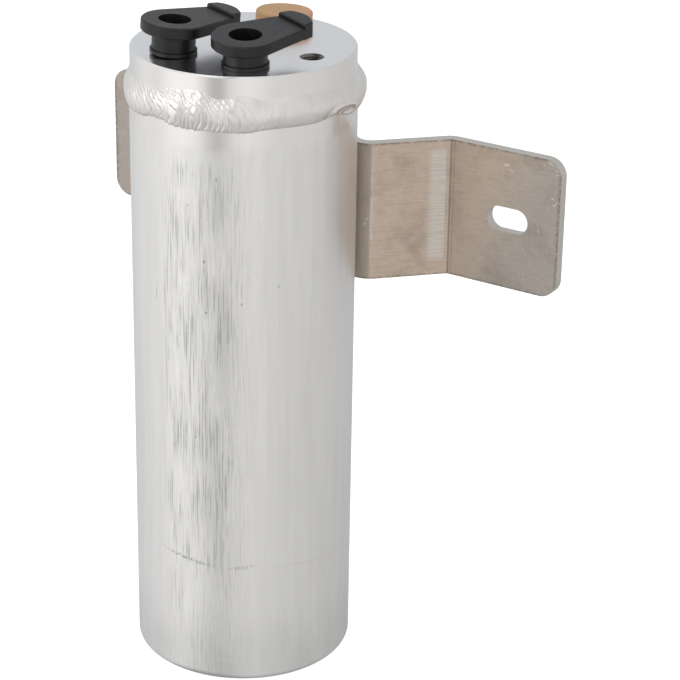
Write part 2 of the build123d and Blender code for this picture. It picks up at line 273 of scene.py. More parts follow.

# %% [markdown]
# ## The drawn can
#
# The can was drawn from a slug through a ring, which leaves fine upright
# streaks, and its mouth was turned bright before welding. Handling has rubbed
# the front: light and dark streaks, a few pits and scratches and a scuffed band
# low down. Near the floor the can is darker: a painted reflection, with a dark
# painted reflection along the rounded bottom edge. Long marks could be painted
# one by one, but streaks are too many, so one noise pattern is stretched far
# along the can and let through only where the front is worn, and the marks that
# catch the eye are ellipses in a short list.

# %% The can's marks
# Each row: strength, middle round and up, half width and height, lean, tilt.
DARK_MARKS = [
    (0.75, -10.0, 124.1, 0.30, 0.75, 0.0, 0.0), (0.75, -9.5, 109.9, 0.32, 0.45, 0.0, 0.0),
    (0.65, -0.1, 112.9, 0.25, 0.65, 0.0, 0.0), (0.65, -6.6, 146.8, 0.25, 0.6, 0.1, 0.0),
    (0.45, -14.4, 139.0, 0.30, 0.5, 0.0, 0.0), (0.35, -10.1, 121.6, 0.22, 1.3, 0.0, 0.0),
    (0.30, -0.1, 116.5, 0.20, 3.6, 0.0, 0.0), (0.28, -22.3, 112.5, 0.25, 7.0, 0.01, 0.0),
    (0.25, -17.8, 129.5, 0.25, 3.2, -0.06, 0.0), (0.22, 9.6, 117.4, 0.6, 0.8, 0.0, 0.0),
    (0.24, -25.5, 112.0, 0.35, 3.0, 0.1, 0.0), (0.30, -12.7, 73.6, 0.35, 0.5, 0.0, 0.0),
]
BROAD_DARK = [
    (0.30, -6.5, 139.0, 2.4, 11.0, 0.0, 0.0), (0.26, -9.8, 117.0, 1.1, 13.0, 0.0, 0.0),
    (0.24, -5.0, 100.0, 3.4, 22.0, 0.0, 0.0), (0.22, -22.0, 100.0, 0.8, 24.0, 0.0, 0.0),
    (0.16, -8.0, 62.0, 5.0, 30.0, 0.0, 0.0),
]
LIGHT_MARKS = [
    (0.80, -20.35, 116.7, 0.13, 21.5, 0.017, 0.0), (0.75, 3.3, 140.4, 0.28, 1.5, -0.22, 0.0),
    (0.85, 4.9, 136.9, 0.30, 1.9, -0.30, 0.0), (0.85, 1.9, 121.6, 0.30, 1.8, -0.75, 0.0),
    (0.65, 4.1, 118.9, 0.45, 1.0, -0.6, 0.0), (0.35, 1.4, 119.4, 1.3, 0.3, 0.0, 0.0),
    (0.30, -2.0, 127.3, 2.0, 0.16, 0.0, 0.25), (0.32, 1.7, 128.2, 2.2, 0.16, 0.0, 0.04),
    (0.28, 5.6, 127.6, 2.6, 0.16, 0.0, -0.28), (0.40, -15.5, 103.8, 4.2, 0.14, 0.0, 0.0),
    (0.35, -19.6, 137.8, 3.4, 0.14, 0.0, 0.0), (0.30, 6.9, 77.0, 0.8, 0.2, 0.0, 0.3),
    (0.28, 2.1, 70.5, 0.7, 0.2, 0.0, -0.3), (0.25, -8.4, 6.4, 10.6, 0.25, 0.0, -0.04),
]
SCUFF_BAND = [
    (0.55, -15.5, 36.3, 11.0, 0.8, 0.0, -0.12), (0.50, 0.0, 35.5, 5.5, 0.7, 0.0, 0.12),
    (0.22, 18.5, 34.3, 15.5, 0.22, 0.0, -0.10),
]
# Painted reflection: a dark band along the rounded bottom edge, where it mirrors a dark room.
FOOT_EDGE_REFLECTION = [(0.55, -11.0, 0.6, 15.0, 1.9, 0.0, 0.0)]
print("marks:", len(DARK_MARKS) + len(BROAD_DARK) + len(LIGHT_MARKS) + len(SCUFF_BAND))

# %% The can's finish
DRAWN_PALE, DRAWN_DEEP = (0.945, 0.945, 0.94), (0.90, 0.90, 0.90)
TURNED_ALUMINIUM = (0.925, 0.908, 0.895)
# The dark colour serves the rubbed streaks and also the painted reflection at the foot.
RUBBED_BRIGHT, DARK_WEAR_AND_FOOT_REFLECTION, PIT_DARK = (1.0, 1.0, 1.0), (0.36, 0.365, 0.36), (0.07, 0.07, 0.065)
BAND_BOTTOM = 154.2


def worn_front(tree, around, up):
    """A mask for the front of the can, where handling has rubbed it."""
    left = fit(tree, around, -25.0, -19.5)
    right = fit(tree, around, 4.0, -6.0)
    top = fit(tree, up, 152.5, 147.0)
    return times(tree, left, right, top, fit(tree, up, 10.0, 60.0, 0.45, 1.0))


def can_finish():
    """Drawn aluminium with upright streaks, rubs, pits, a turned band and a painted reflection darkening the foot."""
    material, tree, shader, place = begin("drawn aluminium")
    around, up, out = unroll(tree, place)
    ragged = times(tree, noise(tree, stretched(tree, around, up, 5.0, 40), 1.0, 3.0), 2.4)
    turned = fit(tree, plus(tree, up, ragged), BAND_BOTTOM, BAND_BOTTOM + 3.2)
    drawn = calc(tree, "SUBTRACT", 1.0, turned)
    fine = noise(tree, stretched(tree, around, up, 0.42, 16), 1.0, 4.0, 0.6)
    second = noise(tree, stretched(tree, around, up, 0.55, 8, 7.0), 1.0, 5.0, 0.65)
    broad = noise(tree, stretched(tree, around, up, 2.6, 50), 1.0, 3.0)
    patch = noise(tree, stretched(tree, around, up, 4.5, 17, 3.0), 1.0, 3.0)
    cloud = noise(tree, stretched(tree, around, up, 11, 20), 1.0, 3.0)
    worn = times(tree, worn_front(tree, around, up), drawn)
    base = mix(tree, fit(tree, broad, 0.32, 0.68), DRAWN_DEEP, DRAWN_PALE)
    base = mix(tree, times(tree, fit(tree, fine, 0.35, 0.75), drawn, plus(tree, times(tree, worn, 0.10), 0.045)), base, DARK_WEAR_AND_FOOT_REFLECTION)
    pale = times(tree, fit(tree, second, 0.46, 0.60), fit(tree, patch, 0.36, 0.52), worn, 0.85)
    dark = times(tree, fit(tree, fine, 0.48, 0.64), fit(tree, patch, 0.64, 0.42), worn, 0.62)
    base = mix(tree, pale, base, RUBBED_BRIGHT)
    base = mix(tree, dark, base, DARK_WEAR_AND_FOOT_REFLECTION)
    smear = times(tree, marks(tree, around, up, BROAD_DARK), fit(tree, second, 0.36, 0.62, 0.3, 1.0))
    base = mix(tree, times(tree, smear, drawn), base, DARK_WEAR_AND_FOOT_REFLECTION)
    base = mix(tree, turned, base, TURNED_ALUMINIUM)
    fleck = fit(tree, noise(tree, stretched(tree, around, up, 0.7, 0.6), 1.0, 2.0), 0.42, 0.62)
    base = mix(tree, times(tree, marks(tree, around, up, SCUFF_BAND), fleck), base, PIT_DARK)
    # Painted reflection along the rounded bottom edge.
    base = mix(tree, marks(tree, around, up, FOOT_EDGE_REFLECTION), base, DARK_WEAR_AND_FOOT_REFLECTION)
    base = mix(tree, marks(tree, around, up, DARK_MARKS), base, PIT_DARK)
    light = marks(tree, around, up, LIGHT_MARKS)
    base = mix(tree, light, base, (1.0, 1.0, 1.0))
    # Painted reflection: the can darker towards its foot, as the floor shows in it.
    foot = times(tree, fit(tree, up, 26.0, 3.0), fit(tree, cloud, 0.3, 0.7, 0.14, 0.26))
    base = mix(tree, foot, base, DARK_WEAR_AND_FOOT_REFLECTION)
    tree.links.new(base, shader.inputs["Base Color"])
    tree.links.new(calc(tree, "SUBTRACT", 1.0, times(tree, light, 0.9)), shader.inputs["Metallic"])
    rough = plus(tree, fit(tree, fine, 0.3, 0.7, 0.33, 0.43), times(tree, cloud, 0.05), times(tree, worn, 0.05))
    rough = calc(tree, "SUBTRACT", rough, times(tree, turned, 0.14))
    tree.links.new(plus(tree, rough, times(tree, light, 0.2)), shader.inputs["Roughness"])
    bump(tree, shader, plus(tree, times(tree, fine, drawn, plus(tree, worn, 0.35)), times(tree, pale, 0.6)), 0.02)
    return material


dress(can_finish(), "canister")

# %% [markdown]
# ## The turned head
#
# The head was turned on a lathe: fine rings on its flat top and round its
# side. A noise pattern of the distance from the axis, almost endless along the
# ring, gives both, so faint that they only break up the plugs' reflection. The
# flat top is tinted cool, a painted reflection of the room above. The tapped
# holes are painted dark inside as shade, by a mask round each hole's axis.

# %% The head's finish
SCREW_HOLES = [(21.249, -0.167), (-21.139, -2.166)]
HEAD_TOP = 174.0


def near_axis(tree, place, x_mm, y_mm, radius_mm, soft_mm=0.25):
    """A mask that is 1 within a radius of an upright axis."""
    x, y, z = put(tree, "ShaderNodeSeparateXYZ", {0: place}).outputs
    across = calc(tree, "SUBTRACT", times(tree, x, 1000.0), x_mm)
    along = calc(tree, "SUBTRACT", times(tree, y, 1000.0), y_mm)
    far = calc(tree, "SQRT", plus(tree, times(tree, across, across), times(tree, along, along)))
    return fit(tree, far, radius_mm + soft_mm, radius_mm)


def painted_hole_shade(tree, place, up, depth_mm):
    """A mask for painted shade inside the tapped holes, below a depth."""
    result = 0.0
    for x_mm, y_mm in SCREW_HOLES:
        result = calc(tree, "MAXIMUM", result, near_axis(tree, place, x_mm, y_mm, 3.3, 0.1))
    return times(tree, result, fit(tree, up, HEAD_TOP - depth_mm, HEAD_TOP - depth_mm - 0.05))


def head_finish():
    """Turned aluminium: fine rings on the top and round the side, a cool painted reflection on the top and painted
    shade in the tapped holes.
    """
    material, tree, shader, place = begin("turned aluminium", Metallic=1.0)
    around, up, out = unroll(tree, place)
    rings = noise(tree, stretched(tree, out, around, 0.22, 60), 1.0, 3.0)
    side = noise(tree, stretched(tree, up, around, 0.25, 60), 1.0, 3.0)
    cloud = noise(tree, place, 90.0, 4.0)
    top = fit(tree, up, HEAD_TOP - 0.2, HEAD_TOP - 0.05)
    base = mix(tree, fit(tree, cloud, 0.35, 0.7), (0.895, 0.880, 0.868), (0.925, 0.908, 0.895))
    # Painted reflection: the flat top tinted cool, as the room above shows in it.
    base = mix(tree, times(tree, top, 0.8), base, (0.93, 0.945, 0.975))
    base = mix(tree, times(tree, fit(tree, rings, 0.4, 0.7), top, 0.15), base, (0.74, 0.75, 0.77))
    # Painted shade inside the tapped holes.
    tapped_hole_shade = painted_hole_shade(tree, place, up, 0.01)
    base = mix(tree, times(tree, tapped_hole_shade, 0.85), base, (0.12, 0.115, 0.11))
    tree.links.new(base, shader.inputs["Base Color"])
    rough = plus(tree, fit(tree, cloud, 0.3, 0.7, 0.11, 0.17), times(tree, top, 0.06), times(tree, tapped_hole_shade, 0.3))
    tree.links.new(rough, shader.inputs["Roughness"])
    bump(tree, shader, plus(tree, rings, side), 0.008)
    return material


HEAD = head_finish()
dress(HEAD, "head")

# %% [markdown]
# ## The strap
#
# The strap is rolled plate with a warm grey skin. The press has rubbed a pale
# band across it beside each knee, the knee itself is a dark line, and the
# outer end is greyer. The sheared edges are paler. All of this follows the
# strap's own lengths, so the finish reads x and z, takes x from either side
# and adds noise stretched along the rolling direction.

# %% The strap's marks
KNEE = 40.45
STRAP_MIDDLE = 124.8
# Each row: strength, x, z, half width, half height, lean, tilt.
STRAP_SCRATCHES = [
    (0.55, 57.4, 140.3, 1.2, 0.5, 0.0, 0.0), (0.35, 58.8, 139.0, 1.6, 0.3, 0.0, -0.4),
    (0.70, 71.4, 133.6, 0.7, 0.22, 0.0, -0.5), (0.60, 72.4, 132.4, 0.22, 0.7, 0.3, 0.0),
    (0.55, 71.8, 131.8, 0.9, 0.2, 0.0, 0.2), (0.35, 67.6, 123.8, 0.25, 0.9, -0.5, 0.0),
    (0.60, 70.2, 143.3, 1.3, 0.22, 0.0, -0.5), (0.50, 72.3, 141.6, 0.8, 0.2, 0.0, -0.2),
    (0.45, 72.4, 140.4, 0.7, 0.18, 0.0, 0.1), (0.35, 68.5, 142.4, 0.2, 0.9, 0.3, 0.0),
    (0.30, 42.0, 116.0, 0.9, 0.2, 0.0, 0.5), (0.35, 42.8, 115.2, 0.2, 0.7, 0.2, 0.0),
    (0.40, 24.0, 122.9, 0.5, 0.5, 0.6, 0.0), (0.45, 23.4, 121.4, 0.25, 0.9, 0.4, 0.0),
]
print("strap scratches:", len(STRAP_SCRATCHES))

# %% The strap's finish
SKIN_WARM, SKIN_GREY = srgb(216, 198, 181), srgb(184, 176, 169)
SKIN_DEEP, SKIN_PALE = srgb(150, 138, 128), srgb(226, 221, 215)


def strap_finish():
    """Rolled plate: a warm grey skin, press marks and pale sheared edges."""
    material, tree, shader, place = begin("rolled plate")
    facing = put(tree, "ShaderNodeSeparateXYZ", {0: put(tree, "ShaderNodeNewGeometry").outputs["Normal"]}).outputs
    x, y, z = put(tree, "ShaderNodeSeparateXYZ", {0: place}).outputs
    x_mm = times(tree, x, 1000.0)
    up = times(tree, z, 1000.0)
    side = calc(tree, "ABSOLUTE", x_mm)
    cut = calc(tree, "MAXIMUM", fit(tree, calc(tree, "ABSOLUTE", facing[2]), 0.5, 0.8), times(tree, fit(tree, calc(tree, "ABSOLUTE", facing[1]), 0.35, 0.1), fit(tree, side, 45.0, 50.0)))
    rolled = noise(tree, stretched(tree, x_mm, up, 5.0, 0.5), 1.0, 4.0, 0.6)
    weave = noise(tree, stretched(tree, x_mm, up, 0.5, 3.0), 1.0, 3.0)
    cloud = noise(tree, place, 110.0, 5.0, 0.6)
    grain = noise(tree, place, 900.0, 3.0)
    outer = fit(tree, plus(tree, side, times(tree, up, -0.35)), -2.0, 26.0)
    base = mix(tree, outer, SKIN_WARM, SKIN_GREY)
    base = mix(tree, fit(tree, cloud, 0.45, 0.75, 0.0, 0.40), base, SKIN_DEEP)
    base = mix(tree, fit(tree, rolled, 0.45, 0.75, 0.0, 0.32), base, SKIN_DEEP)
    base = mix(tree, fit(tree, weave, 0.55, 0.78, 0.0, 0.35), base, SKIN_PALE)
    lines = noise(tree, stretched(tree, side, up, 9.0, 0.28), 1.0, 3.0, 0.7)
    edge = plus(tree, side, times(tree, calc(tree, "SUBTRACT", lines, 0.5), 3.0))
    band = times(tree, fit(tree, edge, 35.6, 37.2), fit(tree, side, 39.7, 39.3), fit(tree, up, 108.8, 111.5), fit(tree, up, 142.2, 140.5))
    base = mix(tree, times(tree, band, fit(tree, lines, 0.36, 0.58, 0.22, 0.95)), base, SKIN_PALE)
    knee = mark(tree, side, up, KNEE, STRAP_MIDDLE, 0.42, 60.0)
    base = mix(tree, times(tree, knee, 0.5), base, srgb(96, 84, 76))
    beside = mark(tree, side, up, KNEE + 0.9, STRAP_MIDDLE, 0.4, 60.0)
    base = mix(tree, times(tree, beside, 0.3), base, SKIN_DEEP)
    # Painted shade: a grey darker strip on the neck's curve beside the can.
    neck_shade = times(tree, fit(tree, side, 25.2, 24.2), fit(tree, side, 20.5, 21.5))
    base = mix(tree, times(tree, neck_shade, 0.55), base, srgb(150, 146, 140))
    # Painted highlight along the neck's bend, broken up by the weave.
    crest_highlight = times(tree, mark(tree, side, up, 25.0, STRAP_MIDDLE, 0.55, 21.0), fit(tree, weave, 0.35, 0.6))
    base = mix(tree, times(tree, crest_highlight, 0.6), base, SKIN_PALE)
    scratches = marks(tree, x_mm, up, STRAP_SCRATCHES)
    base = mix(tree, scratches, base, (0.95, 0.94, 0.93))
    rim = calc(tree, "MAXIMUM", fit(tree, side, 72.5, 73.4), fit(tree, calc(tree, "ABSOLUTE", calc(tree, "SUBTRACT", up, STRAP_MIDDLE)), 18.6, 19.4))
    base = mix(tree, times(tree, rim, fit(tree, grain, 0.35, 0.6, 0.1, 0.6)), base, srgb(120, 112, 104))
    base = mix(tree, cut, base, srgb(216, 212, 207))
    tree.links.new(base, shader.inputs["Base Color"])
    tree.links.new(calc(tree, "SUBTRACT", 0.92, times(tree, scratches, 0.7)), shader.inputs["Metallic"])
    rough = plus(tree, fit(tree, grain, 0.3, 0.7, 0.40, 0.52), times(tree, band, -0.06))
    tree.links.new(rough, shader.inputs["Roughness"])
    bump(tree, shader, plus(tree, grain, rolled, times(tree, band, lines)), 0.02)
    return material


STRAP = strap_finish()
dress(STRAP, "bracket")

# %% [markdown]
# ## Rubber, cap and the pieces inside
#
# The plugs are moulded black rubber, satin, with a fine grain and dust on the
# top; the bottom of each hole is painted deep black as shade. The cap is tan, a
# little pinker on one side. The pieces in the can show only when the model is
# opened in a viewer, and each still gets its own grain. One function makes them
# all from two near colours and one grain size, and the plugs get theirs by hand.

# %% The rubber
PORTS = [(11.62, -16.09), (-10.06, -17.11)]


def rubber_finish():
    """Black moulded rubber with a satin skin and hole bottoms painted black as shade."""
    material, tree, shader, place = begin("black rubber")
    x, y, z = put(tree, "ShaderNodeSeparateXYZ", {0: place}).outputs
    up = times(tree, z, 1000.0)
    grain = noise(tree, place, 1500.0, 4.0)
    cloud = noise(tree, place, 220.0, 4.0)
    base = mix(tree, fit(tree, cloud, 0.35, 0.7), (0.0055, 0.0058, 0.0065), (0.010, 0.0105, 0.0118))
    dust = times(tree, fit(tree, grain, 0.60, 0.74), fit(tree, cloud, 0.45, 0.65), 0.35)
    base = mix(tree, dust, base, (0.06, 0.06, 0.06))
    # Painted shade: the bottom of each port hole darkened to black.
    port_hole_shade = 0.0
    for x_mm, y_mm in PORTS:
        port_hole_shade = calc(tree, "MAXIMUM", port_hole_shade, near_axis(tree, place, x_mm, y_mm, 4.3, 0.3))
    port_hole_shade = times(tree, port_hole_shade, fit(tree, up, HEAD_TOP + 5.2, HEAD_TOP + 3.8))
    base = mix(tree, port_hole_shade, base, (0.002, 0.002, 0.002))
    tree.links.new(base, shader.inputs["Base Color"])
    tree.links.new(plus(tree, fit(tree, grain, 0.3, 0.7, 0.36, 0.46), times(tree, port_hole_shade, 0.45)), shader.inputs["Roughness"])
    bump(tree, shader, grain, 0.012)
    return material


RUBBER = rubber_finish()
dress(RUBBER, "outlet_plug", "inlet_plug", "valve_seal")


# %% The cap
def cap_finish():
    """A tan moulded cap, pinker on one side."""
    material, tree, shader, place = begin("tan cap")
    x, y, z = put(tree, "ShaderNodeSeparateXYZ", {0: place}).outputs
    grain = noise(tree, place, 800.0, 4.0)
    cloud = noise(tree, place, 160.0, 4.0)
    base = mix(tree, fit(tree, times(tree, x, 1000.0), -4.0, 7.0), srgb(192, 151, 104), srgb(202, 151, 120))
    base = mix(tree, fit(tree, cloud, 0.4, 0.7, 0.0, 0.4), base, srgb(178, 136, 96))
    base = mix(tree, fit(tree, grain, 0.45, 0.7, 0.0, 0.3), base, srgb(216, 182, 146))
    tree.links.new(base, shader.inputs["Base Color"])
    tree.links.new(fit(tree, grain, 0.3, 0.7, 0.42, 0.56), shader.inputs["Roughness"])
    bump(tree, shader, grain, 0.02)
    return material


dress(cap_finish(), "switch_cap")

# %% The pieces inside
def grainy(name, first, second, size_mm, rough, height_mm, **constants):
    """A plain finish: two near colours and a bump from one grain."""
    material, tree, shader, place = begin(name, **constants)
    grain = noise(tree, place, 1000.0 / size_mm, 4.0)
    tree.links.new(mix(tree, fit(tree, grain, 0.35, 0.65), first, second), shader.inputs["Base Color"])
    tree.links.new(fit(tree, grain, 0.3, 0.7, *rough), shader.inputs["Roughness"])
    bump(tree, shader, grain, height_mm)
    return material


METAL = {"Metallic": 1.0}
INSIDE = [
    (("bracket_welds",), "strap weld", srgb(205, 202, 196), srgb(226, 224, 219), 1.2, (0.35, 0.48), 0.12, METAL),
    (("valve_core", "valve_pin"), "brass", srgb(200, 170, 100), srgb(216, 186, 116), 0.8, (0.25, 0.4), 0.01, METAL),
    (("valve_spring", "bed_spring", "strainer_mesh"), "spring wire", srgb(150, 150, 152), srgb(175, 175, 178), 0.5, (0.3, 0.45), 0.01, METAL),
    (("pickup_tube", "lower_plate", "upper_plate"), "plain aluminium", srgb(205, 205, 208), srgb(222, 222, 225), 1.2, (0.3, 0.42), 0.01, METAL),
    (("pickup_strainer",), "natural nylon", srgb(222, 218, 204), srgb(234, 230, 218), 1.0, (0.4, 0.5), 0.01, {}),
    (("lower_pad", "upper_pad"), "felt", srgb(214, 208, 192), srgb(232, 227, 214), 0.4, (0.85, 0.95), 0.15, {}),
    (("desiccant",), "drying beads", srgb(196, 178, 148), srgb(222, 208, 182), 1.8, (0.7, 0.85), 0.6, {}),
]
for names, name, first, second, size, rough, height, constants in INSIDE:
    dress(grainy(name, first, second, size, rough, height, **constants), *names)

# %% [markdown]
# ## Growing a piece with Geometry Nodes
#
# The weld and the threads follow a rule round a circle, so a Geometry Nodes
# tree makes each. The helper below puts a tree on an empty object, sets its
# named inputs by their identifiers, takes the evaluated result as a plain
# mesh and throws the modifier away, so that what stays is an ordinary piece.

# %% Helpers for Geometry Nodes
def geometry_tree(name, inputs):
    """A geometry tree with named inputs, its input sockets and its output."""
    tree = bpy.data.node_groups.new(name, "GeometryNodeTree")
    kinds = {float: "NodeSocketFloat", int: "NodeSocketInt"}
    for label, value in inputs.items():
        tree.interface.new_socket(label, in_out="INPUT", socket_type=kinds[type(value)]).default_value = value
    tree.interface.new_socket("Finish", in_out="INPUT", socket_type="NodeSocketMaterial")
    tree.interface.new_socket("Geometry", in_out="OUTPUT", socket_type="NodeSocketGeometry")
    return tree, tree.nodes.new("NodeGroupInput").outputs, tree.nodes.new("NodeGroupOutput")


def close_tree(tree, geometry, finish, end):
    """Ends a tree: real meshes for instances, smooth faces and the material."""
    real = put(tree, "GeometryNodeRealizeInstances", {"Geometry": geometry})
    smooth = put(tree, "GeometryNodeSetShadeSmooth", {"Geometry": real.outputs[0], "Shade Smooth": True})
    named = put(tree, "GeometryNodeSetMaterial", {"Geometry": smooth.outputs[0], "Material": finish})
    tree.links.new(named.outputs[0], end.inputs["Geometry"])


def grow(name, tree, finish, values):
    """The plain mesh piece that a tree makes with these values."""
    host = bpy.data.objects.new(name + "_host", bpy.data.meshes.new(name + "_host"))
    bpy.context.scene.collection.objects.link(host)
    modifier = host.modifiers.new("grow", "NODES")
    modifier.node_group = tree
    for item in tree.interface.items_tree:
        if item.item_type == "SOCKET" and item.in_out == "INPUT":
            modifier[item.identifier] = finish if item.name == "Finish" else values[item.name]
    bpy.context.view_layer.update()
    evaluated = host.evaluated_get(bpy.context.evaluated_depsgraph_get())
    mesh = bpy.data.meshes.new_from_object(evaluated)
    mesh.name = name
    mesh.materials.clear()
    mesh.materials.append(finish)
    mesh.polygons.foreach_set("material_index", [0] * len(mesh.polygons))
    host.modifiers.remove(modifier)
    bpy.data.objects.remove(host)
    piece = bpy.data.objects.new(name, mesh)
    bpy.context.scene.collection.objects.link(piece)
    print(name, "faces:", len(mesh.polygons), "finish:", mesh.materials[0].name)
    return piece


print("geometry helpers ready")

# %% [markdown]
# ## The weld's finish
#
# The weld metal froze bright and satin. Soot and oxide lie in the creases
# between ripples; along the lower toe the darkening is painted shade where the
# bead meets the can. The tree that grows the bead stores how deep each point
# lies in a crease, with that shade, as an attribute, and the finish darkens the
# metal there.

# %% The weld metal
def weld_finish():
    """Bright cast-looking aluminium, darker with soot in the creases and with painted shade along the lower toe."""
    material, tree, shader, place = begin("weld metal", Metallic=1.0)
    cloud = noise(tree, place, 220.0, 4.0)
    fine = noise(tree, place, 1100.0, 3.0)
    crease = put(tree, "ShaderNodeAttribute", attribute_name="crease").outputs["Fac"]
    base = mix(tree, fit(tree, cloud, 0.35, 0.65), (0.875, 0.855, 0.835), (0.935, 0.92, 0.905))
    # The stored mask: soot in the ripple creases, painted shade along the lower toe.
    base = mix(tree, times(tree, crease, fit(tree, fine, 0.3, 0.6, 0.25, 0.6)), base, (0.30, 0.29, 0.275))
    tree.links.new(base, shader.inputs["Base Color"])
    tree.links.new(fit(tree, cloud, 0.3, 0.7, 0.33, 0.42), shader.inputs["Roughness"])
    bump(tree, shader, fine, 0.012)
    return material


WELD = weld_finish()
print("made", WELD.name)

# %% [markdown]
# ## The weld
#
# A hand-held torch laid this bead in overlapping ripples. It could be an array
# of small discs, but real ripples melt into one skin, so the tree bends one
# fine grid into a ring and works out its radius point by point: a swollen
# section with a steep lower toe and a soft upper one, edges that wander along
# two curves, and a saw-toothed wave of crescents whose phase runs round the
# can. Where the torch moved slowly the ripples are sharp, and where the metal
# stayed hot they are almost gone. The place where the bead laps its own start
# is a shallow crater with a rim.

# %% The bead's sizes
BEAD = {
    "Steps": 1600, "Rows": 46, "Ripples": 112, "Ripple Height": 0.15, "Ripple Lean": 6.4,
    "Proud": 2.05, "Fuller Side": 0.45, "Flatter Front": 0.35, "Lump Height": 0.16, "Inner Radius": 29.0, "Seed": 7,
}
# Each row: degrees round from the front, height of the edge in millimetres.
LOWER_EDGE = [
    (-180, 159.4), (-110, 159.3), (-75, 159.1), (-57, 159.5), (-46, 160.5), (-38, 159.9), (-28, 159.5), (-12, 159.6),
    (0, 159.4), (8, 160.0), (20, 160.3), (36, 160.2), (48, 160.8), (60, 159.5), (75, 158.9), (110, 159.3), (180, 159.4),
]
UPPER_EDGE = [
    (-180, 168.3), (-110, 168.1), (-62, 168.1), (-42, 168.8), (-30, 169.6), (-21, 169.9), (-12, 168.3), (-6, 168.6),
    (2, 169.4), (12, 168.0), (23, 168.7), (48, 168.1), (70, 168.6), (110, 168.2), (180, 168.3),
]
print("ripple pitch:", round(2 * math.pi * CAN_RADIUS / BEAD["Ripples"], 2), "mm")


# %% The bead's fields
def edge_curve(tree, share, rows, low, high):
    """A height that follows a short list of edge heights round the can."""
    curve = put(tree, "ShaderNodeFloatCurve", {"Value": share})
    points = curve.mapping.curves[0].points
    while len(points) < len(rows):
        points.new(0.5, 0.5)
    for point, (degrees, height) in zip(points, rows):
        point.location = (degrees / 360 + 0.5, (height - low) / (high - low))
    curve.mapping.update()
    return plus(tree, times(tree, curve.outputs[0], high - low), low)


def bell(tree, value, middle, width):
    """1 at a middle value and falling smoothly to 0 a width away."""
    far = calc(tree, "ABSOLUTE", calc(tree, "SUBTRACT", value, middle))
    return fit(tree, far, width, 0.0)


def ripple_wave(tree, start, arc, t, circle):
    """The saw-toothed crescents: height 0 to 1, and how deep in a crease."""
    bowed = times(tree, start["Ripple Lean"], calc(tree, "POWER", calc(tree, "ABSOLUTE", calc(tree, "SUBTRACT", t, 0.3)), 1.8), 1.9)
    uneven = times(tree, calc(tree, "SUBTRACT", noise(tree, circle, 7.0, 2.0), 0.5), 5.0)
    pitch = calc(tree, "DIVIDE", 2 * math.pi * CAN_RADIUS, start["Ripples"])
    phase = calc(tree, "DIVIDE", plus(tree, arc, bowed, uneven), pitch)
    number = calc(tree, "WRAP", calc(tree, "FLOOR", phase), start["Ripples"], 0.0)
    luck = put(tree, "ShaderNodeTexWhiteNoise", {"W": plus(tree, number, times(tree, start["Seed"], 31.7))}, noise_dimensions="1D").outputs["Value"]
    saw = calc(tree, "FRACT", phase)
    rise = fit(tree, saw, 0.0, 0.16)
    fall = fit(tree, saw, 1.05, 0.12)
    size = plus(tree, times(tree, luck, 0.8), 0.6)
    crease = times(tree, calc(tree, "MAXIMUM", fit(tree, saw, 0.86, 0.99), fit(tree, saw, 0.06, 0.0)), size)
    return times(tree, rise, fall, size), crease


def liveliness(tree, degrees):
    """How sharp the ripples are at an angle round the can."""
    left = times(tree, fit(tree, degrees, -92.0, -66.0), fit(tree, degrees, 16.0, -34.0))
    middle = bell(tree, degrees, 0.0, 30.0)
    lap = bell(tree, degrees, 52.0, 22.0)
    back = calc(tree, "MAXIMUM", fit(tree, degrees, 88.0, 120.0), fit(tree, degrees, -80.0, -110.0))
    quiet = plus(tree, times(tree, middle, 0.14), times(tree, lap, 0.22), times(tree, back, 0.65), 0.06)
    return calc(tree, "MAXIMUM", left, quiet)


print("bead fields ready")


